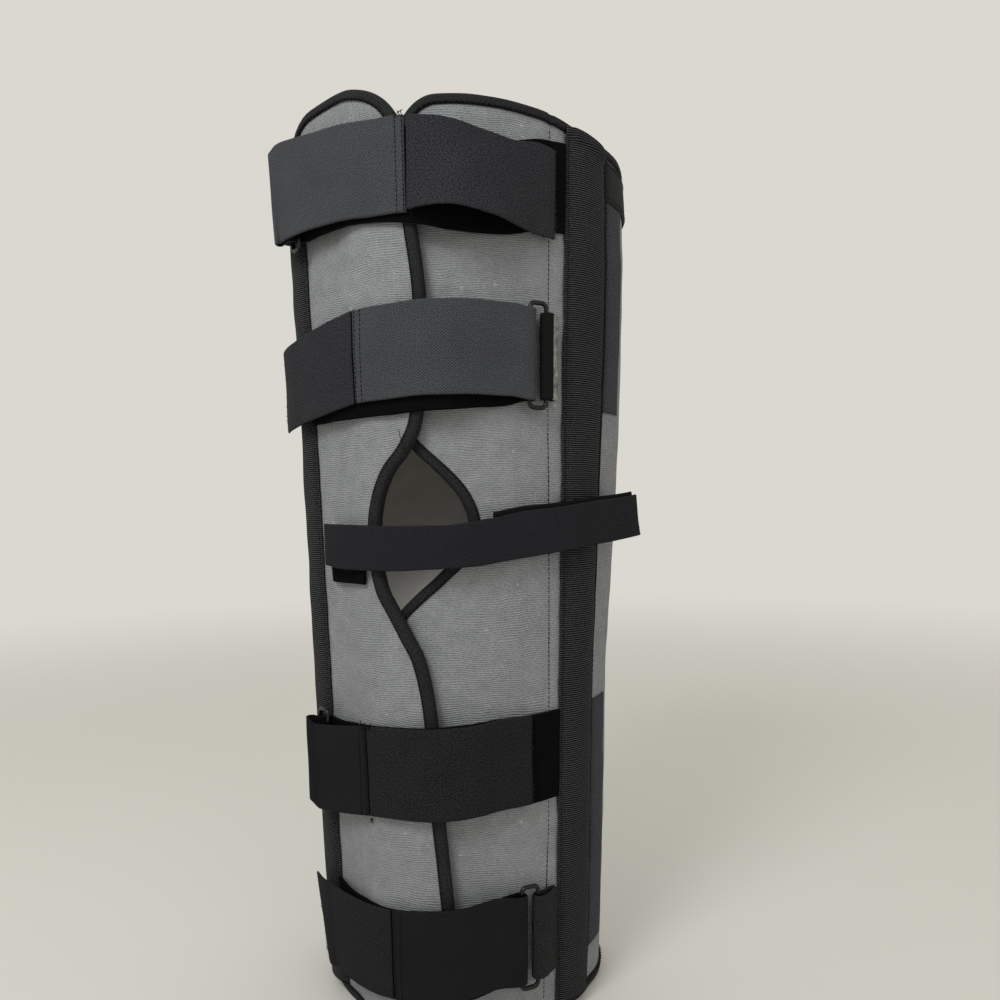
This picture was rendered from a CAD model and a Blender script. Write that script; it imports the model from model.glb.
import math

import bpy
import numpy as np
from mathutils import Matrix, Vector


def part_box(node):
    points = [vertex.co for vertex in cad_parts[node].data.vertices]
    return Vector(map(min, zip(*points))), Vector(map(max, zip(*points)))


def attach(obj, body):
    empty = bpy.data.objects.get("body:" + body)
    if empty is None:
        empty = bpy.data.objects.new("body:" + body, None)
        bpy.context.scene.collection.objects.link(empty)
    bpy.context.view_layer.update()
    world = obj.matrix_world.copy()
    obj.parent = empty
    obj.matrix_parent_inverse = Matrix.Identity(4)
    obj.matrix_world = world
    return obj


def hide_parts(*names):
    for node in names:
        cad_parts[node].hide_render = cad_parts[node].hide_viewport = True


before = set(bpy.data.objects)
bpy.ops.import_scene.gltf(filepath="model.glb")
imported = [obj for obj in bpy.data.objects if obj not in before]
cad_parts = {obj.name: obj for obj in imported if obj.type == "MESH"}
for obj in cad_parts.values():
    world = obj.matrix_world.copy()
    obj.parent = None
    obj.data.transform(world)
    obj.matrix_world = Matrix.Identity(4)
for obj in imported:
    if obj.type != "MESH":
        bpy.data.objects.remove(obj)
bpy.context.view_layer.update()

MM = 0.001

# Body of the splint, measured on the outside of the panels
HEIGHT = 508.0
TOP_RIM = {"width": 108.5, "front": 100.0, "back": 48.0}
BOTTOM_RIM = {"width": 86.0, "front": 75.0, "back": 42.0}
FRONT_ROUNDNESS = 1.85
BACK_ROUNDNESS = 2.6
PANEL = 4.5
FIT_GAP = 0.4
HALF_SIDES = 24

# Edge binding, pockets, flaps and opening
BINDING_WIDTH = 4.6
BINDING_GAP = 0.55
BINDING_LIFT = 1.25
POCKET_WIDTH = 32.0
POCKET_CROWN = 4.2
POCKET_TAPE = 1.2
POCKET_START = {"left": 0.315, "right": 0.279}
LAP_WIDTH = 24.0
DOME_RISE = {"left": 10.5, "right": 2.5}
OPENING_CENTRE = 278.0
OPENING_HEIGHT = 92.0

# Webbing
WIDE_STRAP = 50.0
KNEE_STRAP = 24.5
WEBBING = 1.8
HOOK_TAPE = 1.4
RING_WIRE = 2.6
RING_SPAN = 10.1
RING_CLEARANCE = 2.2
TAB_WIDTH = 47.0
STRIP_WIDTH = {"thigh": 20.0, "calf": 23.0}
STRIP_THICKNESS = 1.3
SELVEDGE_WIDTH = 2.4
LINT_START = 19.5
BACK_BAND_WIDTH = 26.0
LAP_LIFT = PANEL + 2 * BINDING_LIFT + 0.3
LAYER_PITCH = WEBBING + FIT_GAP
BEND_RADIUS = (RING_WIRE + WEBBING) / 2 + 1.5 * FIT_GAP
SLACK_FOLD = 1.9
TUCK_GAP = 0.002

# Strap heights: lower edges of the wide straps, middle of the knee strap
UPPER_THIGH = 446.0
LOWER_THIGH = 347.0
KNEE = 270.0
UPPER_CALF = 124.0
LOWER_CALF = 25.0


def mix(a, b, t):
    return a + (b - a) * t


def ease(t):
    t = np.clip(t, 0, 1)
    return t * t * (3 - 2 * t)


def unit(vectors):
    return vectors / np.linalg.norm(vectors, axis=-1, keepdims=True)


def table(columns, *rows):
    """Rows under named columns, kept as one array a column."""
    return {name: np.array([row[i] for row in rows], float) for i, name in enumerate(columns.split())}


def curve(xs, ys, at):
    """Monotone cubic through the points, without overshoot."""
    xs, ys = (xs, ys) if xs[-1] > xs[0] else (xs[::-1], ys[::-1])
    at = np.clip(at, xs[0], xs[-1])
    span = np.diff(xs)
    slope = np.diff(ys) / span
    product = slope[:-1] * slope[1:]
    total = np.where(product > 0, slope[:-1] + slope[1:], 1)
    inner = np.where(product > 0, 2 * product / total, 0)
    tangent = np.concatenate([slope[:1], inner, slope[-1:]])
    i = np.clip(np.searchsorted(xs, at, side="right") - 1, 0, len(span) - 1)
    t = (at - xs[i]) / span[i]
    a, b = ys[i], ys[i + 1]
    ta, tb = tangent[i] * span[i], tangent[i + 1] * span[i]
    return a + ta * t + (3 * (b - a) - 2 * ta - tb) * t**2 + (2 * (a - b) + ta + tb) * t**3


def distances(*columns):
    """How far each point of a path lies from its start."""
    return np.concatenate([[0], np.cumsum(np.hypot(*(np.diff(column) for column in columns)))])


# Cross-section of the skin


def rim_point(angle, z):
    t = z / HEIGHT
    width, front, back = (mix(BOTTOM_RIM[k], TOP_RIM[k], t) for k in ("width", "front", "back"))
    s, c = np.sin(angle), np.cos(angle)
    power = np.where(c > 0, 2 / FRONT_ROUNDNESS, 2 / BACK_ROUNDNESS)
    depth = np.where(c > 0, front, back)
    return width * np.abs(s) ** power, -depth * np.sign(c) * np.abs(c) ** power


FINE_ANGLES = np.linspace(0, math.pi, 2001)
FINE_X, FINE_Y = rim_point(FINE_ANGLES, HEIGHT / 2)
FINE_LENGTHS = distances(FINE_X, FINE_Y)
FINE_SHARES = FINE_LENGTHS / FINE_LENGTHS[-1]


def section(share, z):
    turn = (share + 1) % 2 - 1
    x, y = rim_point(np.interp(np.abs(turn), FINE_SHARES, FINE_ANGLES), z)
    return np.stack([x * np.sign(turn), y], -1)


def skin(share, z, lift):
    """Points at shares of the half girth (0 in front, 1 at the back, + on the right)."""
    share, z, lift = np.broadcast_arrays(np.asarray(share, float), z, lift)
    reach = 0.014
    run = unit(section(share + reach, z) - section(share - reach, z))
    outward = np.stack([run[..., 1], -run[..., 0]], -1)
    return np.concatenate([section(share, z) + outward * lift[..., None], z[..., None]], -1)


def half_girth(z):
    angles = np.interp(np.linspace(0, 1, HALF_SIDES + 1), FINE_SHARES, FINE_ANGLES)
    x, y = rim_point(angles, z)
    return np.hypot(np.diff(x), np.diff(y)).sum()


TOP_GIRTH = half_girth(HEIGHT)
BOTTOM_GIRTH = half_girth(0.0)


def girth_at(z):
    return mix(BOTTOM_GIRTH, TOP_GIRTH, z / HEIGHT)


def on_leg(around, z, lift):
    """Points at millimetres round from the front centre, which follow the taper."""
    return skin(around / girth_at(z), z, lift)


def ripple(around, z, size, seed):
    """A smooth uneven wave between about -1 and 1."""
    rng = np.random.default_rng(seed)
    total = 0
    for _ in range(6):
        turn, phase = rng.uniform(0, 2 * math.pi, 2)
        wave = size * rng.uniform(0.7, 1.7)
        total = total + np.sin((around * math.cos(turn) + z * math.sin(turn)) * 2 * math.pi / wave + phase)
    return total / 3.4


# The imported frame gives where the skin's own origin lies
panel_low, panel_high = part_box("back_panel")
BACK_TOP = HEIGHT - 2 * DOME_RISE["right"]
BACK_TOP_DEPTH = mix(BOTTOM_RIM["back"], TOP_RIM["back"], BACK_TOP / HEIGHT)
ORIGIN = np.array([
    (panel_low.x + panel_high.x) / 2,
    panel_high.y - BACK_TOP_DEPTH * MM,
    panel_low.z,
])

# Meshes


def add_mesh(name, points, faces, weave, materials):
    """A smooth mesh from points in skin millimetres and their places in the weave."""
    mesh = bpy.data.meshes.new(name)
    mesh.from_pydata((points * MM + ORIGIN).tolist(), [], faces)
    for material in materials:
        mesh.materials.append(material)
    mesh.polygons.foreach_set("use_smooth", np.ones(len(faces), bool))
    attribute = mesh.attributes.new("weave", "FLOAT_VECTOR", "POINT")
    attribute.data.foreach_set("vector", np.ascontiguousarray(weave, np.float32).ravel())
    mesh.update()
    piece = bpy.data.objects.new(name, mesh)
    bpy.context.scene.collection.objects.link(piece)
    return piece


def dress(piece, slot, *nodes):
    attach(piece, "root")
    if nodes:
        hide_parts(*nodes)
    return piece


def grid_faces(rows, columns, start=0):
    i, j = np.meshgrid(np.arange(rows), np.arange(columns), indexing="ij")
    a = start + i * (columns + 1) + j
    b = a + columns + 1
    return np.stack([a, b, b + 1, a + 1], -1).reshape(-1, 4)


def turned_out(points, faces, within):
    """Whether the faces, taken together, turn away from these points behind them."""
    a, b, c = (points[faces[:, k]] for k in range(3))
    return np.einsum("ij,ij->i", np.cross(b - a, c - a), a - within).sum() > 0


def slab(name, outside, inside, weave, materials):
    """A sheet with a thickness, from two grids of points; the rim takes the first material."""
    rows, columns = outside.shape[0] - 1, outside.shape[1] - 1
    size = (rows + 1) * (columns + 1)
    at = np.arange(size).reshape(rows + 1, columns + 1)
    outer = grid_faces(rows, columns)
    inner = grid_faces(rows, columns, size)[:, ::-1]
    loop = np.concatenate([at[:, 0], at[-1, 1:], at[-2::-1, -1], at[0, -2:0:-1]])
    after = np.roll(loop, -1)
    rim = np.stack([loop, loop + size, after + size, after], -1)
    faces = np.concatenate([outer, inner, rim])
    points = np.concatenate([outside.reshape(-1, 3), inside.reshape(-1, 3)])
    if not turned_out(points, outer, points[outer[:, 0] + size]):
        faces = faces[:, ::-1]
    slots = np.zeros(len(faces), int)
    slots[len(outer) : len(outer) + len(inner)] = len(materials) - 1
    piece = add_mesh(name, points, faces.tolist(), np.stack([weave, weave]), materials)
    piece.data.polygons.foreach_set("material_index", slots)
    return piece


def tube(name, rings, weave, materials, closed):
    """Rings of points joined into one body, closed on itself or capped."""
    count, sides = rings.shape[:2]
    i = np.arange(count if closed else count - 1)[:, None]
    j = np.arange(sides)[None, :]
    ahead = ((i + 1) % count) * sides
    side = (j + 1) % sides
    faces = np.stack([i * sides + j, i * sides + side, ahead + side, ahead + j], -1).reshape(-1, 4)
    caps = []
    if not closed:
        caps = [list(range(sides))[::-1], list(range((count - 1) * sides, count * sides))]
    points = rings.reshape(-1, 3)
    piece = add_mesh(name, points, faces.tolist() + caps, weave, materials)
    walls = faces[: sides * (count - 1)]
    if not turned_out(points, walls, np.repeat(rings.mean(1), sides, 0)[: len(walls)]):
        piece.data.flip_normals()
    return piece


# Materials


def linear(red, green, blue):
    convert = lambda v: ((v / 255 + 0.055) / 1.055) ** 2.4 if v > 10 else v / 255 / 12.92
    return (convert(red), convert(green), convert(blue), 1.0)


class Finish:
    """A fabric's material: colour, height and roughness worked out in the weave's millimetres."""

    def __init__(self, name, roughness, specular, sheen=0.0):
        self.material = bpy.data.materials.new(name)
        self.material.use_nodes = True
        self.nodes = self.material.node_tree.nodes
        self.links = self.material.node_tree.links
        self.shader = self.nodes["Principled BSDF"]
        values = {"Roughness": roughness, "Sheen Weight": sheen, "Specular IOR Level": specular}
        for key, value in values.items():
            self.shader.inputs[key].default_value = value
        self.weave = self.nodes.new("ShaderNodeAttribute")
        self.weave.attribute_name = "weave"
        split = self.nodes.new("ShaderNodeSeparateXYZ")
        self.links.new(self.weave.outputs["Vector"], split.inputs[0])
        self.along, self.across, self.shade = split.outputs

    def put(self, socket, value):
        """Feeds a socket from another one, a number or a tone (red, green, blue from 0 to 255)."""
        if isinstance(value, bpy.types.NodeSocket):
            self.links.new(value, socket)
        else:
            socket.default_value = linear(*value) if isinstance(value, tuple) else value

    def math(self, operation, a, b=0.0, c=0.0):
        node = self.nodes.new("ShaderNodeMath")
        node.operation = operation
        for socket, value in zip(node.inputs, (a, b, c)):
            self.put(socket, value)
        return node.outputs[0]

    def times(self, a, b, plus=0.0):
        return self.math("MULTIPLY_ADD", a, b, plus)

    def lines(self, place, pitch):
        """A sine of this pitch along a coordinate, from 0 to 1."""
        return self.times(self.math("SINE", self.times(place, 2 * math.pi / pitch)), 0.5, 0.5)

    def sharp(self, value, gain):
        """The value with its contrast raised about a half, held within 0 to 1."""
        socket = self.times(value, gain, 0.5 - 0.5 * gain)
        socket.node.use_clamp = True
        return socket

    def slanted(self, rise):
        return self.times(self.across, rise, self.along)

    def texture(self, kind, scales):
        """A texture node that reads the weave times these scales."""
        scale = self.nodes.new("ShaderNodeVectorMath")
        scale.operation = "MULTIPLY"
        self.links.new(self.weave.outputs["Vector"], scale.inputs[0])
        scale.inputs[1].default_value = scales
        node = self.nodes.new(kind)
        node.inputs["Scale"].default_value = 1.0
        self.links.new(scale.outputs[0], node.inputs["Vector"])
        return node

    def noise(self, size, detail=2.0, stretch=(1, 1, 1), roughness=0.5):
        node = self.texture("ShaderNodeTexNoise", tuple(s / size for s in stretch))
        node.inputs["Detail"].default_value = detail
        node.inputs["Roughness"].default_value = roughness
        return node.outputs["Fac"]

    def specks(self, size, cover):
        """Small round marks spread unevenly, 1 on a mark and 0 elsewhere."""
        node = self.texture("ShaderNodeTexVoronoi", (1 / size, 1 / size, 1))
        near = self.math("LESS_THAN", node.outputs["Distance"], 0.11)
        split = self.nodes.new("ShaderNodeSeparateColor")
        self.links.new(node.outputs["Color"], split.inputs[0])
        chosen = self.math("LESS_THAN", split.outputs[0], cover)
        return self.times(near, chosen)

    def blend(self, factor, a, b):
        node = self.nodes.new("ShaderNodeMix")
        node.data_type = "RGBA"
        for key, value in (("Factor", factor), ("A", a), ("B", b)):
            self.put(node.inputs[key], value)
        return node.outputs["Result"]

    def color(self, value):
        self.put(self.shader.inputs["Base Color"], value)

    def bump(self, height, depth):
        """Raises the surface by height (0 to 1) times depth in millimetres."""
        node = self.nodes.new("ShaderNodeBump")
        node.inputs["Distance"].default_value = depth * MM
        self.links.new(height, node.inputs["Height"])
        self.links.new(node.outputs[0], self.shader.inputs["Normal"])
        return self.material


def foam_finish():
    f = Finish("foam_laminate", 0.95, specular=0.1)
    drift = f.times(f.noise(38, 2), 9.0)
    wobble = f.times(f.noise(8, 2), 0.9, drift)
    rows = f.lines(f.math("ADD", f.across, wobble), 1.25)
    grain = f.sharp(f.noise(0.95, 2, stretch=(0.6, 1.1, 1)), 3.6)
    mottle = f.noise(9, 4, roughness=0.62)
    tone = f.blend(mottle, (130, 133, 137), (170, 172, 175))
    worn = f.times(f.sharp(f.noise(30, 3), 2.2), 0.45)
    ridges = f.times(rows, f.times(worn, -1.0, 0.75), f.times(worn, 0.5))
    yarn = f.times(grain, 0.35, ridges)
    tone = f.blend(f.times(yarn, -0.6, 0.66), tone, (70, 72, 76))
    tone = f.blend(f.times(f.specks(9, 0.12), 0.22), tone, (205, 206, 206))
    f.color(f.blend(f.shade, tone, (26, 27, 28)))
    return f.bump(yarn, 0.4)


def lining_finish():
    f = Finish("brushed_lining", 1.0, sheen=0.2, specular=0.05)
    nap = f.noise(1.1, 4, roughness=0.7)
    mottle = f.noise(16, 3)
    tone = f.blend(mottle, (160, 157, 152), (186, 183, 178))
    f.color(f.blend(f.times(nap, 0.35), tone, (118, 116, 111)))
    return f.bump(nap, 0.3)


def binding_finish():
    """Folded binding tape, darker in the groove along its inner edge."""
    f = Finish("binding_tape", 0.8, specular=0.16)
    dark = (6, 7, 8)
    weave = f.times(f.lines(f.slanted(0.9), 0.9), f.lines(f.slanted(-1.3), 1.035))
    grain = f.sharp(f.noise(0.85, 2), 3.5)
    patch = f.noise(12, 3)
    tone = f.blend(f.times(weave, 0.35, f.times(grain, 0.65)), dark, (54, 56, 58))
    tone = f.blend(f.times(patch, 0.5), tone, dark)
    f.color(f.blend(f.shade, tone, (5, 5, 5)))
    return f.bump(f.times(weave, 0.5, f.times(grain, 0.5)), 0.12)


def ribbed_finish():
    f = Finish("ribbed_webbing", 0.85, specular=0.12)
    wobble = f.times(f.noise(10, 2), 0.8)
    ribs = f.sharp(f.lines(f.math("ADD", f.across, wobble), 1.22), 1.9)
    threads = f.lines(f.along, 0.75)
    grain = f.sharp(f.noise(0.65, 3), 2.5)
    high = f.times(ribs, f.times(threads, 0.35, f.times(grain, 0.65)))
    selvedge = f.math("GREATER_THAN", f.along, POCKET_WIDTH - SELVEDGE_WIDTH)
    tone = f.blend(high, (1, 1, 1), (91, 92, 96))
    f.color(f.blend(f.times(selvedge, 0.85), tone, (16, 16, 17)))
    return f.bump(f.times(threads, 0.15, ribs), 0.5)


def webbing_finish(name, dark, light, slant, pitch, grain_share):
    """Cloth with a diagonal lattice of dark pits, partly hidden by an uneven grain."""
    f = Finish(name, 0.9, specular=0.1)
    wobble = f.times(f.noise(7, 2), 0.8)
    rising = f.lines(f.math("ADD", f.slanted(slant), wobble), pitch)
    falling = f.lines(f.math("ADD", f.slanted(-slant), wobble), pitch)
    grain = f.sharp(f.noise(0.8, 2, roughness=0.6), 3.6)
    patch = f.noise(18, 3)
    pits = f.sharp(f.times(rising, falling), 2.6)
    cloth = f.times(pits, grain_share - 1, 1 - grain_share)
    height = f.times(grain, grain_share, cloth)
    tone = f.blend(height, dark, light)
    f.color(f.blend(f.times(patch, 0.3), tone, dark))
    return f.bump(height, 0.1)


def loop_finish():
    f = Finish("loop_pile", 1.0, specular=0.02)
    pile = f.noise(0.9, 4, roughness=0.75)
    f.color(f.blend(pile, (2, 2, 2), (22, 22, 23)))
    return f.bump(pile, 0.6)


def ring_finish():
    f = Finish("ring_enamel", 0.28, specular=0.3)
    f.shader.inputs["Coat Weight"].default_value = 0.08
    f.shader.inputs["Coat Roughness"].default_value = 0.12
    wear = f.noise(3, 3)
    f.color(f.blend(wear, (4, 4, 5), (14, 14, 15)))
    return f.bump(wear, 0.02)


def lint_finish():
    """Hook tape whose raw end is full of pale lint."""
    f = Finish("linty_hook_tape", 0.95, specular=0.1)
    fuzz = f.sharp(f.noise(1.3, 3, roughness=0.7), 3.0)
    patchy = f.sharp(f.noise(6, 2), 3.0)
    raw_end = f.math("GREATER_THAN", f.along, LINT_START)
    cover = f.times(raw_end, f.times(patchy, 0.5, f.times(fuzz, 0.5)))
    f.color(f.blend(cover, (20, 20, 21), (178, 176, 174)))
    return f.bump(fuzz, 0.3)


def thread_finish():
    f = Finish("black_thread", 0.7, specular=0.15)
    twist = f.lines(f.slanted(1.0), 0.5)
    f.color(f.blend(twist, (8, 8, 9), (12, 12, 13.5)))
    return f.bump(twist, 0.05)


FOAM = foam_finish()
LINING = lining_finish()
BINDING = binding_finish()
RIBBED = ribbed_finish()
TWILL = {"slant": 1.0, "pitch": 1.6, "grain_share": 0.45}
HOOK = {"slant": 0.8, "pitch": 1.3, "grain_share": 0.75}
THIGH_TWILL = webbing_finish("thigh_webbing", (6, 6, 8), (81, 83, 88), **TWILL)
CALF_TWILL = webbing_finish("calf_webbing", (2, 2, 3), (35, 35, 39), **TWILL)
KNEE_TWILL = webbing_finish("knee_webbing", (2, 2, 3), (44, 44, 49), **TWILL)
THIGH_HOOK = webbing_finish("thigh_hook_back", (3, 3, 4), (60, 61, 66), **HOOK)
CALF_HOOK = webbing_finish("calf_hook_back", (3, 3, 4), (46, 46, 50), **HOOK)
HOOK_FACE = webbing_finish("hook_face", (4, 4, 5), (24, 24, 26), 0.5, 1.3, 0.7)
LINT = lint_finish()
LOOP = loop_finish()
STRIP = webbing_finish("loop_strip", (14, 14, 17), (84, 84, 92), 0.5, 1.2, 0.75)
RING = ring_finish()
BLACK_THREAD = thread_finish()

# Seams and outlines

POCKET_SHARE = POCKET_WIDTH / girth_at(HEIGHT / 2)
POCKET_END = {side: start + POCKET_SHARE for side, start in POCKET_START.items()}
SEAM = {side: start + 0.6 * POCKET_SHARE for side, start in POCKET_START.items()}
SEAM_GAP = FIT_GAP / girth_at(HEIGHT / 2)


def knee_rows(*rows):
    """Rows whose heights are given from the opening's centre, in half heights of it."""
    return [((OPENING_CENTRE + up * OPENING_HEIGHT / 2) / HEIGHT, reach) for up, reach in rows]


# Front edges of the flaps: height as a share, reach in lap widths from the centre line
EDGE = {
    "left": table(
        "up reach",
        (0, 0.38), (0.15, 0.2), (0.24, 0.06), (0.35, -0.05),
        *knee_rows(
            (-1.5, -0.28), (-1.25, -0.52), (-1, -0.77), (-0.65, -1.12), (-0.2, -1.25), (0.1, -1.24),
            (0.4, -1.14), (0.7, -0.89), (0.95, -0.49), (1.3, -0.2),
        ),
        (0.71, -0.1), (0.79, -0.06), (0.88, -0.24), (0.93, -0.32), (1, -0.37),
    ),
    "right": table(
        "up reach",
        (0, -1), (0.4, -1),
        *knee_rows(
            (-1.05, -0.9), (-0.82, -0.5), (-0.6, 0), (-0.42, 0.38), (-0.28, 0.68), (-0.15, 0.84),
            (0.1, 0.88), (0.38, 0.7), (0.6, 0.38), (0.85, -0.12), (1, -0.42), (1.2, -0.68), (1.5, -0.86),
        ),
        (0.72, -0.9), (0.85, -0.95), (1, -0.9),
    ),
}

# Upper outlines from the seam (0) to the front edge (1), in dome rises; lower outline in lap widths
TOP = {
    "left": table(
        "along rise",
        (0, 0), (0.1, 0.72), (0.2, 1.15), (0.31, 1.3), (0.49, 1.28), (0.6, 1.15), (0.68, 0.97),
        (0.76, 0.68), (0.82, 0.43), (0.88, 0.05), (0.92, -0.38), (0.955, -1), (0.98, -2.1), (1, -3.8),
    ),
    "right": table(
        "along rise",
        (0, -3.8), (0.05, -2.9), (0.1, -2), (0.18, -1), (0.37, 0.1), (0.5, 0.5), (0.66, 0.8),
        (0.78, 0.8), (0.84, -0.2), (0.885, -2), (0.925, -4.8), (0.97, -10), (1, -16),
    ),
}
FOOT = table("along rise", (0, 0), (0.9, 0), (0.96, 0.16), (1, 0.6))
SIDE = {"left": -1, "right": 1}
LAP = {"left": LAP_LIFT, "right": 0.0}


def flap_lift(name, around):
    far, near = -2.7 * LAP_WIDTH, -1.2 * LAP_WIDTH
    return LAP[name] * ease((around - far) / (near - far))


def flap_place(name, along, up):
    top = HEIGHT + curve(TOP[name]["along"], TOP[name]["rise"], along) * DOME_RISE[name]
    foot = curve(FOOT["along"], FOOT["rise"], along) * LAP_WIDTH
    z = mix(foot, top, up)
    seam = SIDE[name] * (SEAM[name] - SEAM_GAP) * girth_at(z)
    front = curve(EDGE[name]["up"], EDGE[name]["reach"], z / HEIGHT) * LAP_WIDTH
    return mix(seam, front, along), z


# Stitch line down the right flap: how far it runs in front of the pocket at each height
DART = table("z offset", (0, 7.5), (60, 7), (120, 5.5), (270, 7.4), (400, 9.5), (508, 9.5))


def dart_around(z):
    return POCKET_START["right"] * girth_at(z) - curve(DART["z"], DART["offset"], z)


# How far the sides bulge at each height, behind the pockets' front edges
BULGE = table(
    "z right left",
    (0, -2.2, 0), (90, -1.6, 0), (180, -2.6, -0.8), (250, 0, -1.2), (330, 2, -1.4), (430, 2.8, -1.6),
    (480, 0.5, -1.2), (508, -2.2, 0),
)


def panel_relief(around, z):
    """Soft unevenness of the padded cloth, its bulging sides and the stitch line's groove."""
    turn = (around / girth_at(z) + 1) % 2 - 1
    side = ease((np.abs(turn) - 0.34) / 0.1) * ease((0.85 - np.abs(turn)) / 0.25)
    bulge = np.where(turn > 0, curve(BULGE["z"], BULGE["right"], z), curve(BULGE["z"], BULGE["left"], z))
    wave = 0.45 * ripple(around, z, 95, 3) + 0.22 * ripple(around, z, 26, 5)
    groove = -0.75 * np.exp(-(((around - dart_around(z)) / 1.5) ** 2))
    return wave + groove + side * bulge


def over_panel(rise):
    """A lift that stays this far over the panel's relief."""
    return lambda around, z: panel_relief(around, z) + rise


def leg_path(shares, heights):
    """A path of (around, z) rows from shares of the half girth at these heights."""
    return np.stack(np.broadcast_arrays(shares * girth_at(heights), heights), -1)


def flat_weave(around, z):
    return np.stack([around, z, np.zeros_like(z)], -1)


def spread(stops, pieces):
    """Every interval between the stops cut into this many equal steps."""
    stops = np.asarray(stops, float)
    steps = np.arange(pieces) / pieces
    return np.append((stops[:-1, None] + np.diff(stops)[:, None] * steps).ravel(), stops[-1])


def panel(name, node, around, z, lift):
    outside, inside = (on_leg(around, z, lift - depth) for depth in (0, PANEL))
    piece = slab(name, outside, inside, flat_weave(around, z), [FOAM, LINING])
    dress(piece, "foam_laminate", node)


FLAP_COLUMNS = [0, 0.14, 0.28, 0.42, 0.54, 0.66, 0.76, 0.84, 0.9, 0.94, 0.97, 1]
for name in ("left", "right"):
    along, up = np.meshgrid(spread(FLAP_COLUMNS, 7), np.linspace(0, 1, 261), indexing="ij")
    around, z = flap_place(name, along, up)
    lift = flap_lift(name, around) + panel_relief(around, z)
    panel(f"{name}_front_panel", f"{name}_flap", around, z, lift)

BACK_SHARES = (SEAM["right"] + SEAM_GAP, 2 - SEAM["left"] - SEAM_GAP)
BACK_SAG = 5.5
BACK_SAG_SHARE = 0.035


def back_top(share):
    """Upper edge of the back panel, which sags beside the right pocket."""
    return BACK_TOP - BACK_SAG * np.exp(-(((share - BACK_SHARES[0]) / BACK_SAG_SHARE) ** 2))


share, up = np.meshgrid(np.linspace(*BACK_SHARES, 190), np.linspace(0, 1, 200), indexing="ij")
z = up * back_top(share)
around = share * girth_at(z)
panel("rear_panel", "back_panel", around, z, panel_relief(around, z))


# Edge binding and stitching; a stitch is its pitch, length and thread width

EDGE_STITCH = (2.9, 2.1, 0.42)
POCKET_STITCH = (3.0, 2.2, 0.4)
BAND_STITCH = (3.0, 2.2, 0.45)
FLAP_STITCH = (2.6, 2.85, 0.6)
STRAP_STITCH = (2.4, 1.9, 0.45)


def resample(path, step):
    """A path of (around, z) rows at equal steps."""
    lengths = distances(*path.T)
    places = np.linspace(0, lengths[-1], max(2, int(lengths[-1] / step) + 1))
    return np.stack([np.interp(places, lengths, path[:, k]) for k in (0, 1)], -1), places


def smoothed(path, reach):
    """The path with its corners eased over this many points."""
    window = np.hanning(2 * reach + 3)[1:-1]
    window /= window.sum()
    padded = np.concatenate([
        2 * path[0] - path[reach:0:-1],
        path,
        2 * path[-1] - path[-2 : -reach - 2 : -1],
    ])
    return np.stack([np.convolve(padded[:, k], window, "valid") for k in (0, 1)], -1)


def binding_section():
    """The folded tape as (outwards from the edge, lift): its visible face, then its hidden one."""
    near, far, deep = BINDING_GAP, BINDING_LIFT, -PANEL
    roll = np.linspace(math.pi / 2, -math.pi / 2, 9)
    middle = deep / 2
    outer = [(-BINDING_WIDTH, near + 0.05), (-BINDING_WIDTH + 0.45, far - 0.35), (-BINDING_WIDTH + 0.9, far)]
    outer += [(-2.6, far + 0.12), (-1.2, far + 0.1)]
    outer += [(-0.4 + (far + 0.9) * math.cos(t), middle + (far + 0.08 - middle) * math.sin(t)) for t in roll]
    outer += [(-1.2, deep - far), (-BINDING_WIDTH + 0.6, deep - far), (-BINDING_WIDTH, deep - near)]
    hidden = [(near - 0.2, deep - near), (near, deep), (near, 0), (near - 0.2, near)]
    return np.array(outer + hidden)


def bind(path, lift_of, inwards, name, node):
    path, lengths = resample(path, 1.6)
    path = smoothed(path, 3)
    run = unit(np.gradient(path, axis=0))
    out = np.stack([run[:, 1], -run[:, 0]], -1) * inwards
    shape = binding_section()
    around, z = (path[:, k, None] + out[:, k, None] * shape[:, 0] for k in (0, 1))
    pucker = 1 + 0.05 * np.sin(lengths * 2 * math.pi / 5.6)[:, None] * (shape[:, 1] > 0)
    wave = panel_relief(path[:, 0], path[:, 1])[:, None]
    lift = lift_of(path[:, 0])[:, None] + wave + shape[:, 1] * pucker
    rings = skin(around / girth_at(path[:, 1])[:, None], z, lift)
    across = distances(*shape.T)
    groove = np.zeros(len(shape))
    groove[[0, 1, -1, -2]] = 1
    weave = np.stack(np.broadcast_arrays(lengths[:, None], across, groove), -1)
    dress(tube(name, rings, weave, [BINDING], False), "binding", node)
    seam = path - out * (BINDING_WIDTH - 1.0)
    faces = (("stitches", BINDING_LIFT + 0.08), ("inner_stitches", -PANEL - BINDING_LIFT - 0.05))
    for part, rise in faces:
        seam_lift = lambda a, z: lift_of(a) + panel_relief(a, z) + rise
        stitches(f"{name}_{part}", seam, seam_lift, EDGE_STITCH, "binding")


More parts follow.
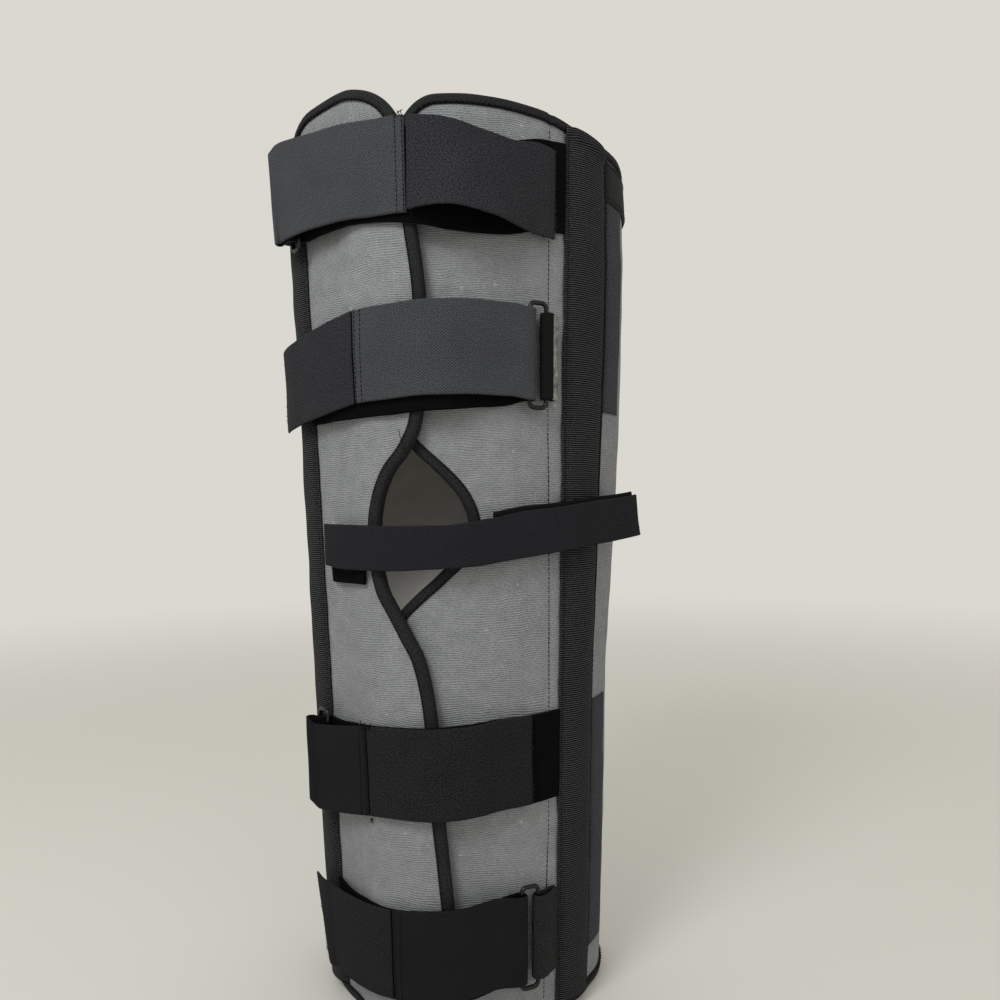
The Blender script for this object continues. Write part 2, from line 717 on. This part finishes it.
def strands(name, line, side, up, thickness, capped, slot, material):
    """Round threads along rows of five points, from two directions across each thread."""
    sides = 6 if capped else 5
    girths = np.array([0.45, 0.9, 1, 0.9, 0.45] if capped else [0.5, 1, 1, 1, 0.5]) * thickness / 2
    turns = np.arange(sides)[:, None] * 2 * math.pi / sides
    spokes = side[..., None, :] * np.cos(turns) + up[..., None, :] * np.sin(turns)
    points = (line[:, :, None, :] + spokes * girths[:, None, None]).reshape(-1, 3)
    last = (len(girths) - 1) * sides
    faces = [
        [i + j, i + (j + 1) % sides, i + sides + (j + 1) % sides, i + sides + j]
        for i in range(0, last, sides)
        for j in range(sides)
    ]
    for j in (1, 3) if capped else ():
        faces += [[0, j + 2, j + 1, j], [last, last + j, last + j + 1, last + j + 2]]
    first = np.arange(len(line))[:, None, None] * (last + sides)
    faces = (first + np.array(faces)).reshape(-1, 4).tolist()
    return dress(add_mesh(name, points, faces, points - points.min(0), [material]), slot)


def stitches(name, path, lift_of, stitch, slot):
    """A row of short thread ends, of one pitch, length and width, along a path of (around, z)."""
    pitch, length, width = stitch
    path, _ = resample(path, pitch)
    step = unit(np.gradient(path, axis=0))
    ends = []
    for shift in (-0.5, -0.25, 0, 0.25, 0.5):
        around, z = (path + step * shift * length).T
        bulge = width * (0.55 if abs(shift) < 0.4 else -0.1)
        ends.append(on_leg(around, z, lift_of(around, z) + bulge))
    line = np.stack(ends, 1)
    run = unit(line[:, -1] - line[:, 0])
    around, z = path.T
    side = unit(np.cross(run, on_leg(around, z, lift_of(around, z) + 5) - line[:, 2]))
    up = np.cross(side, run)
    return strands(name, line, side[:, None], up[:, None], width, True, slot, BLACK_THREAD)


def flap_path(name):
    ups = np.linspace(1, 0, 300)
    alongs = spread(FLAP_COLUMNS, 12)
    tops = np.stack(flap_place(name, alongs, 1.0), -1)
    fronts = np.stack(flap_place(name, np.ones_like(ups), ups), -1)
    feet = np.stack(flap_place(name, alongs[::-1], 0.0), -1)
    return np.concatenate([tops, fronts[1:-1], feet])


for name in ("left", "right"):
    lift_of = lambda around: flap_lift(name, around)
    bind(flap_path(name), lift_of, SIDE[name], f"{name}_front_edge_tape", f"{name}_flap_binding")
for z, inwards, name, node in (
    (BACK_TOP, -1, "rear_top_edge_tape", "back_top_binding"),
    (0.0, 1, "rear_bottom_edge_tape", "back_bottom_binding"),
):
    shares = np.linspace(*BACK_SHARES, 200)
    bind(leg_path(shares, back_top(shares) if z else z), np.zeros_like, inwards, name, node)

# Stay pockets

POCKET_FOOT = BINDING_WIDTH + FIT_GAP
POCKET_HEAD = BACK_TOP + 0.6
POCKET_SLOPE = {"left": 0, "right": 7}
POCKET_LIFT = 2 * FIT_GAP
POCKET_SEAM = 0.055
SELVEDGE = 0.1


def pocket_lift(t):
    body = np.clip((t - SELVEDGE) / (1 - 2 * SELVEDGE), 0, 1)
    crown = np.sqrt(np.clip(np.sin(math.pi * body), 0, 1))
    return POCKET_LIFT + mix(POCKET_TAPE, POCKET_CROWN, crown)


for name in ("left", "right"):
    columns = (1 - np.cos(np.linspace(0, math.pi, 37))) / 2
    t, up = np.meshgrid(columns, np.linspace(0, 1, 330), indexing="ij")
    z = mix(POCKET_FOOT, POCKET_HEAD - POCKET_SLOPE[name] * t, up)
    around = SIDE[name] * mix(POCKET_START[name], POCKET_END[name], t) * girth_at(z)
    edge = around + 0.35 * ripple(around, z, 22, 9) * (np.abs(t - 0.5) * 2) ** 4
    relief = panel_relief(around, z)
    lift = pocket_lift(t) + relief + 0.35 * ripple(around, z, 60, 11) * np.sin(math.pi * t)
    rounding = np.clip(np.minimum(t, 1 - t) * POCKET_WIDTH / 0.8, 0, 1) ** 0.5
    over_binding = ease((z - POCKET_HEAD + POCKET_SLOPE[name] * t + 7) / 3.5) * (BINDING_LIFT + 0.25)
    base = POCKET_LIFT + relief
    outside = on_leg(edge, z, mix(base + 0.25, lift, rounding) + over_binding)
    inside = on_leg(edge, z, base + over_binding)
    piece = slab(f"{name}_pocket_webbing", outside, inside, flat_weave(t * POCKET_WIDTH, z), [RIBBED])
    dress(piece, "ribbed_tape", f"{name}_stay_pocket")
    for t in (POCKET_SEAM, 1 - POCKET_SEAM):
        heights = np.linspace(POCKET_FOOT + 1, POCKET_HEAD - POCKET_SLOPE[name] * t - 1, 200)
        seam_share = SIDE[name] * mix(POCKET_START[name], POCKET_END[name], t)
        seam_name = f"{name}_pocket_stitches_{round(t * 1000)}"
        face = over_panel(POCKET_LIFT + POCKET_TAPE)
        stitches(seam_name, leg_path(seam_share, heights), face, POCKET_STITCH, "ribbed_tape")

# Stitch line down the right flap
heights = np.linspace(10, HEIGHT - 10, 300)
path = np.stack([dart_around(heights), heights], -1)
stitches("right_flap_seam", path, over_panel(-0.12), FLAP_STITCH, "binding")


# Flat tapes lying on the panels


def flat_tape(name, node, start, end, foot, head, material, slot, wave=0.0):
    """A tape on the skin; with a wave, it follows the taper and its far edge is uneven by it."""
    across = np.linspace(0, 1, max(8, int(abs(end - start) * girth_at(foot) / 3)))
    up = np.linspace(foot, head, max(6, int((head - foot) / 1.6)))
    t, z = np.meshgrid(across, up, indexing="ij")
    girth = girth_at(z) if wave else girth_at((foot + head) / 2)
    around = mix(start, end, t) * girth
    around = around + np.sign(end) * wave * t**2 * ripple(z * 0, z, 28, 21)
    near_side = np.minimum(t, 1 - t) * abs(end - start) * girth_at(foot)
    near = np.minimum(near_side, np.minimum(z - foot, head - z))
    rounding = np.clip(near / 0.7, 0.15, 1) ** 0.5
    base = FIT_GAP + panel_relief(around, z)
    outside = skin(around / girth, z, base + STRIP_THICKNESS * rounding)
    inside = skin(around / girth, z, base)
    return dress(slab(name, outside, inside, flat_weave(around, z), [material]), slot, node)


STRIP_GAP = FIT_GAP / girth_at(HEIGHT / 2)
STRIP_SHARE = {part: width / girth_at(HEIGHT / 2) for part, width in STRIP_WIDTH.items()}
BAND_DROP = 11.0
BAND_HEAD = HEIGHT - BAND_DROP
BAND_FOOT = BAND_HEAD - BACK_BAND_WIDTH
STRIPS = (
    ("thigh", UPPER_THIGH - 2 * WIDE_STRAP, BAND_FOOT - FIT_GAP),
    ("calf", LOWER_CALF, UPPER_CALF + WIDE_STRAP + FIT_GAP),
)
for part, foot, head in STRIPS:
    for name in ("right", "left"):
        start = SIDE[name] * (POCKET_END[name] + 2 * STRIP_GAP)
        end = start + SIDE[name] * STRIP_SHARE[part]
        strip, node = f"{name}_{part}_strip", f"{name}_{part}_loop_strip"
        flat_tape(strip, node, start, end, foot, head, STRIP, "loop_fabric", 0.9)
band_start = POCKET_END["right"] + 2 * STRIP_GAP
band_end = 2 - POCKET_END["left"] - 2 * STRIP_GAP
flat_tape("rear_top_band", "upper_back_band", band_start, band_end, BAND_FOOT, BAND_HEAD, BINDING, "binding")
for height in (BAND_FOOT + 3, BAND_HEAD - 3):
    path = leg_path(np.linspace(band_start, band_end, 200), height)
    band_face = over_panel(FIT_GAP + STRIP_THICKNESS)
    stitches(f"rear_band_stitches_{int(height)}", path, band_face, BAND_STITCH, "binding")

# Straps


def filled(row):
    at, lap, layers, high, *rest = row
    return (at, lap, layers, high, *rest, *(high, 0.0, 0.0)[len(rest):])


class Strap:
    """A tape from rows (at, lap, layers, high, low, flare, lean), sampled finely along its length."""

    def __init__(self, rows, foot, width, seed, step=1.3):
        self.girth = girth_at(foot + width / 2)
        self.foot, self.width, self.seed = foot, width, seed
        at, lap, layers, high, low, flare, lean = np.array([filled(row) for row in rows], float).T
        lift = lap * LAP_LIFT + layers * LAYER_PITCH
        stops = distances(at * self.girth, lift)
        self.length = stops[-1]
        self.places = np.linspace(0, self.length, int(self.length / step) + 2)
        columns = (at * self.girth, lift, high, low, flare, lean)
        self.columns = [curve(stops, column, self.places) for column in columns]

    def centre(self, columns, t, edge_wave=0.0):
        """Around, height and lift at shares t across the strap (0 upper edge, 1 lower edge)."""
        around, lift, high, low, flare, lean = columns
        around = around + lean * self.width * t
        z = self.foot + self.width * mix(1 + high, low, t)
        z = z + edge_wave * (np.abs(t - 0.5) * 2) ** 3 * ripple(around, z * 0, 34, self.seed)
        lift = lift + flare * self.width * t**1.5
        lift = lift + 0.3 * ripple(around, z, 42, self.seed + 1) + panel_relief(around, z) * 0.6
        return around, z, lift

    def body(self, name, thickness, materials, slot, node):
        margin = np.array([0, 0.25, 0.6, 1.2, 2.2]) / self.width
        t = np.concatenate([margin, np.linspace(0, 1, 15)[1:-1], 1 - margin[::-1]])
        t = np.unique(t[(t >= 0) & (t <= 1)])[None, :]
        around, z, lift = self.centre([column[:, None] for column in self.columns], t, 0.35)
        run = unit(np.stack([np.gradient(around, axis=0), np.gradient(lift, axis=0)], -1))
        rounding = np.clip(np.minimum(t, 1 - t) * self.width / 0.6, 0.12, 1) ** 0.5
        faces = []
        for side in (1, -1):
            push = side * thickness / 2 * rounding
            share = (around - run[..., 1] * push) / self.girth
            faces.append(skin(share, z, lift + run[..., 0] * push))
        weave = np.stack(np.broadcast_arrays(self.places[:, None], t * self.width, 0.0), -1)
        return dress(slab(name, faces[0], faces[1], weave, materials), slot, node)

    def point(self, place, t, rise):
        """A point over the strap's outer face at a length along it and a share across it."""
        columns = [np.interp(place, self.places, column) for column in self.columns]
        around, z, lift = self.centre(columns, t)
        return around, z, lift + rise


def threads(name, starts, ends, rises, width, slot, material):
    """Short threads between pairs of skin places (around, z, lift), bowed up by rises."""
    shares = np.array([0, 0.2, 0.5, 0.8, 1])
    places = starts[:, None, :] + (ends - starts)[:, None, :] * shares[None, :, None]
    around, z, lift = np.moveaxis(places, -1, 0)
    lift = lift + rises[:, None] * np.sin(math.pi * shares)
    line = on_leg(around, z, lift)
    run = unit(np.gradient(line, axis=1))
    side = unit(np.cross(run, on_leg(around, z, lift + 5) - line))
    return strands(name, line, side, np.cross(side, run), width, False, slot, material)


BEND_TURNS = np.linspace(0, math.pi, 11)


def bend_rows(at, lap, layers, side, girth, high):
    """A strap's half turn round a ring's bar."""
    out = side * BEND_RADIUS * np.sin(BEND_TURNS) / girth
    climb = BEND_RADIUS * (1 - np.cos(BEND_TURNS)) / LAYER_PITCH
    return [(at + o, lap, layers + c, high) for o, c in zip(out, climb)]


SLACK_CLIMB = ((0, -1), (0.54, -0.88), (1.2, 0.1), (2.3, 1.35), (3.6, 1.72))


def slack_rows(at, lap, high, reach, side, girth, fold):
    """A strap that climbs off its ring into a loose fold, whose edges and lean are given."""
    far = SLACK_CLIMB[-1][0] * BEND_RADIUS
    top = SLACK_CLIMB[-1][1] * BEND_RADIUS
    path = [(out * BEND_RADIUS, lift * BEND_RADIUS) for out, lift in SLACK_CLIMB]
    for turn in BEND_TURNS:
        path.append((reach - SLACK_FOLD * (1 - math.sin(turn)), top + SLACK_FOLD * (1 - math.cos(turn))))
    rows = []
    for out, lift in path:
        share = min(1.0, out / far)
        shape = (mix(high, fold[0], share), mix(high, fold[1], share), 0, fold[2] * share)
        rows.append((at + side * out / girth, lap, 1 + (BEND_RADIUS + lift) / LAYER_PITCH, *shape))
    return rows


def ring(name, node, share, z, lift):
    """A wire ring: a rounded rectangle of round wire standing on the skin."""
    corner = 3.0
    half_across = RING_SPAN / 2
    half_tall = (WIDE_STRAP + RING_WIRE) / 2 + RING_CLEARANCE
    spot = lambda s, h: skin(np.array([s]), np.array([h]), np.array([lift]))[0]
    middle = spot(share, z)
    tangent = unit(spot(share + 0.01, z) - spot(share - 0.01, z))
    up = unit(spot(share, z + 10) - middle)
    outward = np.cross(tangent, up)
    quarter = np.repeat(np.arange(4), 9)
    turn = (quarter * math.pi / 2 + np.tile(np.linspace(0, math.pi / 2, 9), 4))[:, None, None]
    quarter = quarter[:, None, None]
    c, s = np.cos(turn), np.sin(turn)
    x = np.where(quarter % 3 == 0, 1, -1) * (half_across - corner) + corner * c
    y = np.where(quarter < 2, 1, -1) * (half_tall - corner) + corner * s
    rolls = np.arange(14) * 2 * math.pi / 14
    radial = tangent * c + up * s
    wire = radial * np.cos(rolls)[:, None] + outward * np.sin(rolls)[:, None]
    rings = middle + tangent * x + up * y + wire * (RING_WIRE / 2)
    weave = rings - rings.reshape(-1, 3).min(0)
    return dress(tube(name, rings, weave, [RING], True), "ring_wire", node)


CLOTHS = {"thigh": (THIGH_TWILL, THIGH_HOOK), "calf": (CALF_TWILL, CALF_HOOK)}

# A strap's rows are (share, laps, layers, then as shares of its width: high, low, flare, lean). Its
# ring is (share, laps, rise) and its ring's tab is sewn at (share, laps, pinch). Only a strap with
# a reach has a loose fold.
WIDE_STRAPS = (
    dict(
        name="upper_thigh", foot=UPPER_THIGH, side=-1, ring=(-0.285, 0.45, 0.02),
        sewn=(-0.42, 0.74, 0.2), reach=19, fold=(0.14, 0.03, 0.07),
        under=(
            (POCKET_START["right"] - TUCK_GAP, 0, 0.75, -0.06), (0.22, 0, 0.8, -0.09),
            (0.14, 0.1, 0.9, -0.18), (0.05, 0.8, 1.2, -0.2), (-0.01, 1.1, 0.9, -0.13),
            (-0.1, 1.05, 0.75, -0.04),
            (-0.2, 0.7, 0.8, -0.02), (-0.26, 0.5, 0.9, 0),
        ),
        over=(
            (-0.33, 0.55, 4.9, 0.2, 0.05), (-0.27, 0.6, 3.7, 0.15, 0.06), (-0.2, 0.8, 2.3, 0.08, 0.04),
            (-0.1, 1.1, 1.9, 0.01, 0), (-0.022, 1.15, 1.95, -0.02),
        ),
        tab=(
            (-0.018, 1.15, 1.95, -0.02, -0.01, 0.04), (0.02, 1.1, 2.2, -0.05, -0.03, 0.16),
            (0.065, 0.85, 2.4, -0.09, -0.06, 0.27), (0.11, 0.55, 2.3, -0.15, -0.1, 0.24),
            (0.165, 0.25, 2.1, -0.19, -0.14, 0.1), (0.21, 0.1, 2, -0.17, -0.17, 0.02),
            (0.247, 0, 2, -0.2, -0.17),
        ),
    ),
    dict(
        name="lower_thigh", foot=LOWER_THIGH, side=1, ring=(0.192, 0.1, 0.02),
        sewn=(0.257, 0, 0),
        under=(
            (-POCKET_START["left"] + TUCK_GAP, 0, 0.75, -0.12), (-0.22, 0.55, 0.9, -0.13),
            (-0.12, 1.05, 0.75, -0.13), (-0.03, 1.1, 0.9, -0.11), (0.03, 1.1, 0.9, -0.09),
            (0.08, 0.5, 0.9, -0.06), (0.15, 0.05, 0.8, -0.03),
        ),
        over=(
            (0.15, 0.15, 2.9, 0.06), (0.08, 0.7, 2.5, 0.07), (0.02, 1.15, 2.1, 0.06),
            (-0.06, 1.15, 2, 0.04), (-0.131, 1.1, 1.9, 0.02),
        ),
        tab=(
            (-0.135, 1.1, 1.9, 0.02), (-0.22, 0.75, 2, -0.05), (-0.3, 0.6, 2.1, -0.1),
            (-0.34, 0.65, 2.6, -0.14), (-0.395, 0.65, 3.1, -0.17),
        ),
    ),
    dict(
        name="upper_calf", foot=UPPER_CALF, side=-1, ring=(-0.277, 0.45, -0.08),
        sewn=(-0.42, 0.74, 0.2), reach=10.5, fold=(-0.08, -0.08, -0.03),
        under=(
            (POCKET_START["right"] - TUCK_GAP, 0, 0.75, 0.02), (0.14, 0.1, 0.9, 0.01),
            (0.06, 0.8, 1.1, 0), (-0.01, 1.1, 0.9, -0.02), (-0.1, 1.05, 0.75, -0.05),
            (-0.2, 0.7, 0.8, -0.08), (-0.25, 0.5, 0.9, -0.09),
        ),
        over=(
            (-0.3, 0.55, 4.7, -0.16), (-0.26, 0.6, 3.6, -0.14), (-0.2, 0.8, 2.5, -0.1),
            (-0.146, 1, 2, -0.06),
        ),
        tab=(
            (-0.142, 1, 2, -0.06), (-0.09, 1.1, 1.9, -0.04), (0, 1.15, 1.95, -0.02),
            (0.07, 0.9, 2.1, 0), (0.14, 0.3, 2.1, 0.03), (0.2, 0.05, 1.95, 0.03),
        ),
    ),
    dict(
        name="lower_calf", foot=LOWER_CALF, side=1, ring=(0.172, 0.2, 0.03),
        sewn=(0.268, 0, 0),
        under=(
            (-POCKET_START["left"] + TUCK_GAP, 0, 0.75, -0.08), (-0.2, 0.6, 0.9, -0.1),
            (-0.1, 1.05, 0.8, -0.1), (0, 1.1, 0.9, -0.06), (0.05, 1.12, 0.9, -0.03),
            (0.12, 0.5, 0.9, 0),
        ),
        over=(
            (0.12, 0.6, 2.7, 0.06), (0.04, 1.15, 2.1, 0.01), (-0.04, 1.15, 2, -0.04),
            (-0.097, 1.12, 1.9, -0.07),
        ),
        tab=(
            (-0.101, 1.12, 1.9, -0.07), (-0.21, 0.75, 2, -0.1), (-0.3, 0.55, 2.1, -0.1),
            (-0.33, 0.6, 2.5, -0.1, -0.1, 0, 0.1), (-0.375, 0.55, 3, -0.1, -0.1, 0, 0.26),
        ),
    ),
)


def seam_stitches(name, strap, places):
    """Rows of stitches across a strap's outer face, at these lengths along it."""
    pitch, length, width = STRAP_STITCH
    count = int(strap.width / pitch)
    starts, ends = [], []
    for place in places:
        for i in range(count):
            t = (i + 0.5) / count
            half = length / strap.width / 2
            starts.append(strap.point(place, t - half, WEBBING / 2))
            ends.append(strap.point(place, t + half, WEBBING / 2))
    rises = np.full(len(starts), 0.25)
    return threads(name, np.array(starts), np.array(ends), rises, width, "webbing", BLACK_THREAD)


TABS = []
for seed, row in enumerate(WIDE_STRAPS):
    name, foot, side = row["name"], row["foot"], row["side"]
    ring_at, ring_lap, ring_high = row["ring"]
    sewn_at, sewn_lap, pinch = row["sewn"]
    twill, hook = CLOTHS[name.split("_")[1]]
    middle = foot + WIDE_STRAP / 2
    girth = girth_at(middle)
    if "reach" in row:
        bend = slack_rows(ring_at, ring_lap, ring_high, row["reach"], side, girth, row["fold"])
    else:
        bend = bend_rows(ring_at, ring_lap, 1, side, girth, ring_high)
    strap = Strap([*row["under"], *bend, *row["over"]], foot, WIDE_STRAP, 31 + 7 * seed)
    strap.body(f"{name}_webbing", WEBBING, [twill, LOOP][:: -side], "webbing", f"{name}_strap")
    tab = Strap(row["tab"], foot, WIDE_STRAP, 31 + 7 * seed)
    faces = [hook, HOOK_FACE][:: -side]
    tab.body(f"{name}_tab", HOOK_TAPE, faces, "hook_fabric", f"{name}_hook_tab")
    TABS.append((name, tab, side, hook))
    seam_stitches(f"{name}_seam", strap, (strap.length - 0.8, strap.length - 4.2))
    ring_lift = ring_lap * LAP_LIFT + LAYER_PITCH + BEND_RADIUS
    ring_share = ring_at + side * RING_SPAN / 2 / girth
    ring(f"{name}_wire_ring", f"{name}_ring", ring_share, middle + ring_high * WIDE_STRAP, ring_lift)
    far_bar = ring_at + side * RING_SPAN / girth
    tab_foot = foot + (WIDE_STRAP - TAB_WIDTH) / 2 + ring_high * WIDE_STRAP
    sewn = [(sewn_at, sewn_lap, layers, -pinch, pinch) for layers in (0.7, 1.7)]
    holder_rows = [sewn[0], *bend_rows(far_bar, ring_lap, 1, -side, girth, 0), sewn[1]]
    holder = Strap(holder_rows, tab_foot, TAB_WIDTH, 33 + 7 * seed, step=0.9)
    cloth = LINT if name == "lower_thigh" else BINDING
    holder.body(f"{name}_ring_holder", HOOK_TAPE, [cloth], "binding", f"{name}_ring_tab")

# Knee strap

KNEE_FOOT = KNEE - KNEE_STRAP / 2
KNEE_ROWS = (
    (-0.25, 0.6, 1.9, 0.02, 0.05), (-0.18, 0.95, 1.9, 0, -0.02), (-0.09, 1.15, 1.7, -0.02, -0.02),
    (0.02, 1.1, 1.4, -0.03, 0.02), (0.09, 0.75, 1.6, 0.07, 0.07), (0.123, 0.55, 1.8, 0.12, 0.12),
    (0.18, 0.3, 2.2, 0.24, 0.2), (0.26, 0.35, 3.2, 0.34, 0.32), (0.33, 0.45, 3.8, 0.44, 0.42),
    (0.39, 0.85, 4, 0.52, 0.5), (0.445, 1.4, 3.6, 0.6, 0.6, 0.12, 0.14),
)
KNEE_TAPE_WIDTH = 22.5
KNEE_TAPE_PEEK = 3.0
KNEE_TAPE_DROP = ((WEBBING + HOOK_TAPE) / 2 + 2 * FIT_GAP) / LAYER_PITCH
KNEE_LOOP_DROP = -0.36
knee = Strap(KNEE_ROWS, KNEE_FOOT, KNEE_STRAP, 71)
knee.body("knee_webbing", WEBBING, [KNEE_TWILL], "webbing", "knee_strap")
tape_rows = [(r[0] - 2 * TUCK_GAP, r[1], r[2] - KNEE_TAPE_DROP, *r[3:]) for r in KNEE_ROWS if r[0] > 0.1]
tape_foot = KNEE_FOOT + KNEE_STRAP + KNEE_TAPE_PEEK - KNEE_TAPE_WIDTH
knee_tape = Strap(tape_rows, tape_foot, KNEE_TAPE_WIDTH, 71)
knee_tape.body("knee_hook_tape", HOOK_TAPE, [HOOK_FACE], "hook_fabric", "knee_strap_hook_tape")
loop_rows = (
    (-0.265, 0, 0.7, KNEE_LOOP_DROP), (-0.2, 0.45, 0.7, KNEE_LOOP_DROP),
    (-0.17, 0.72, 0.7, KNEE_LOOP_DROP), (-0.14, 0.95, 0.7, KNEE_LOOP_DROP),
)
knee_loop = Strap(loop_rows, KNEE_FOOT, KNEE_STRAP, 75)
knee_loop.body("knee_loop_patch", WEBBING, [LOOP], "loop_fabric", "knee_loop_piece")

# Fibres standing off the raw ends, and loose sewing threads


def fringe(name, strap, direction, slot, material, count, seed):
    """Fibres up to this reach past the strap's end, all round its thickness."""
    reach = 1.7
    rng = np.random.default_rng(seed)
    starts, ends = [], []
    for t in rng.uniform(0.01, 0.99, count):
        around, z, lift = strap.point(strap.length, t, rng.uniform(-0.5, 0.5))
        length = reach * rng.uniform(0.25, 1) ** 1.6
        swing = rng.normal(0, 0.45)
        starts.append((around - direction * 0.4, z, lift))
        along, rise = direction * length * math.cos(swing), length * math.sin(swing)
        ends.append((around + along, z + rise, lift + rng.uniform(-0.3, 0.5) * length))
    rises = rng.uniform(0, 0.3, count)
    return threads(name, np.array(starts), np.array(ends), rises, 0.22, slot, material)


def tuft(name, share, z, lift, spread_mm, tall, count, seed):
    """A few loose ends of sewing thread."""
    rng = np.random.default_rng(seed)
    around = share * girth_at(z) + rng.uniform(-0.5, 0.5, count) * spread_mm
    starts = np.stack([around, np.full(count, z), np.full(count, lift)], -1)
    shift = [rng.normal(0, 1.1, count), tall * rng.uniform(0.3, 1, count), rng.uniform(0, 1.2, count)]
    ends = starts + np.stack(shift, -1)
    return threads(name, starts, ends, rng.uniform(-0.8, 0.8, count), 0.5, "webbing", BLACK_THREAD)


for name, tab, side, hook in TABS:
    fringe(f"{name}_tab_fringe", tab, -side, "hook_fabric", hook, 150, len(name))
fringe("knee_strap_fringe", knee, 1, "webbing", KNEE_TWILL, 90, 5)
tuft("upper_thigh_loose_threads", -0.028, UPPER_THIGH + WIDE_STRAP - 1.5, 14, 4, 2.8, 5, 3)
tuft("upper_calf_loose_threads", -0.145, UPPER_CALF + WIDE_STRAP - 4, 13, 6, 5, 9, 4)
tuft("upper_calf_lower_threads", -0.135, UPPER_CALF - 3, 13, 4, -3.5, 4, 6)
girth = girth_at(LOWER_THIGH - 20)
hanging = np.array([(-0.052 * girth, 333, 9.2), (-0.048 * girth, 327, 9.6), (-0.04 * girth, 320, 9.2)])
bows = np.array([0.4, 0.5])
threads("left_edge_loose_thread", hanging[:-1], hanging[1:], bows, 0.4, "binding", BLACK_THREAD)

# Stage, light and camera

BACKGROUND = linear(218, 216, 208)
FLOOR_FADE = (0.5, 2.3)


def floor():
    """A pale disc that fades into the background."""
    radius, spokes = 2.6, 96
    turns = [2 * math.pi * i / spokes for i in range(spokes)]
    points = [(radius * math.cos(turn), radius * math.sin(turn), 0) for turn in turns]
    mesh = bpy.data.meshes.new("floor")
    mesh.from_pydata(points, [], [range(spokes)])
    material = bpy.data.materials.new("floor")
    material.use_nodes = True
    nodes, links = material.node_tree.nodes, material.node_tree.links
    shader = nodes["Principled BSDF"]
    shader.inputs["Base Color"].default_value = linear(214, 213, 208)
    shader.inputs["Roughness"].default_value = 0.7
    place = nodes.new("ShaderNodeTexCoord")
    distance = nodes.new("ShaderNodeVectorMath")
    distance.operation = "LENGTH"
    fade = nodes.new("ShaderNodeMapRange")
    fade.interpolation_type = "SMOOTHSTEP"
    fade.inputs["From Min"].default_value, fade.inputs["From Max"].default_value = FLOOR_FADE
    glow = nodes.new("ShaderNodeEmission")
    glow.inputs["Color"].default_value = BACKGROUND
    both = nodes.new("ShaderNodeMixShader")
    links.new(place.outputs["Object"], distance.inputs[0])
    links.new(distance.outputs["Value"], fade.inputs["Value"])
    links.new(fade.outputs["Result"], both.inputs[0])
    links.new(shader.outputs[0], both.inputs[1])
    links.new(glow.outputs[0], both.inputs[2])
    links.new(both.outputs[0], nodes["Material Output"].inputs["Surface"])
    mesh.materials.append(material)
    piece = bpy.data.objects.new("floor", mesh)
    bpy.context.scene.collection.objects.link(piece)


def area_light(name, place, target, size, power):
    data = bpy.data.lights.new(name, "AREA")
    data.shape = "DISK"
    data.size = size
    data.energy = power
    light = bpy.data.objects.new(name, data)
    light.location = place
    light.rotation_euler = (Vector(target) - Vector(place)).to_track_quat("-Z", "Y").to_euler()
    bpy.context.scene.collection.objects.link(light)


floor()
world = bpy.data.worlds.new("studio")
world.use_nodes = True
world.node_tree.nodes["Background"].inputs["Color"].default_value = BACKGROUND
world.node_tree.nodes["Background"].inputs["Strength"].default_value = 1.0
bpy.context.scene.world = world
inside = (tuple(np.array(place) * MM + ORIGIN) for place in ((-14, 16, 198), (-24, 44, 230)))
area_light("key", (-0.35, -0.8, 1.05), (0, 0, 0.42), 0.45, 6.5)
area_light("fill", (1.1, -1.2, 1.1), (0, 0, 0.4), 1.0, 2)
area_light("inside", *inside, 0.03, 0.016)
bpy.context.scene.view_settings.view_transform = "Standard"

# Camera: place in skin millimetres, angles from degrees, focal length as a share of the sensor


def turned(a, b, angle):
    return a * math.cos(angle) + b * math.sin(angle), b * math.cos(angle) - a * math.sin(angle)


CAMERA_PLACE = np.array([87.5, -502.0, 289.0])
YAW, PITCH, ROLL = (math.radians(v) for v in (7.0, 0.74, -1.0))
FOCAL_SHARE = 0.774
right = Vector((math.cos(YAW), math.sin(YAW), 0))
ahead = Vector((-math.sin(YAW), math.cos(YAW), 0))
above = Vector((0, 0, 1))
ahead, above = turned(ahead, above, PITCH)
right, above = turned(right, above, ROLL)
camera_data = bpy.data.cameras.new("camera")
camera_data.sensor_width = 36.0
camera_data.lens = FOCAL_SHARE * camera_data.sensor_width
camera = bpy.data.objects.new("camera", camera_data)
turn = Matrix((right, above, -ahead)).transposed().to_4x4()
camera.matrix_world = Matrix.Translation(Vector(CAMERA_PLACE * MM + ORIGIN)) @ turn
bpy.context.scene.collection.objects.link(camera)
bpy.context.scene.camera = camera
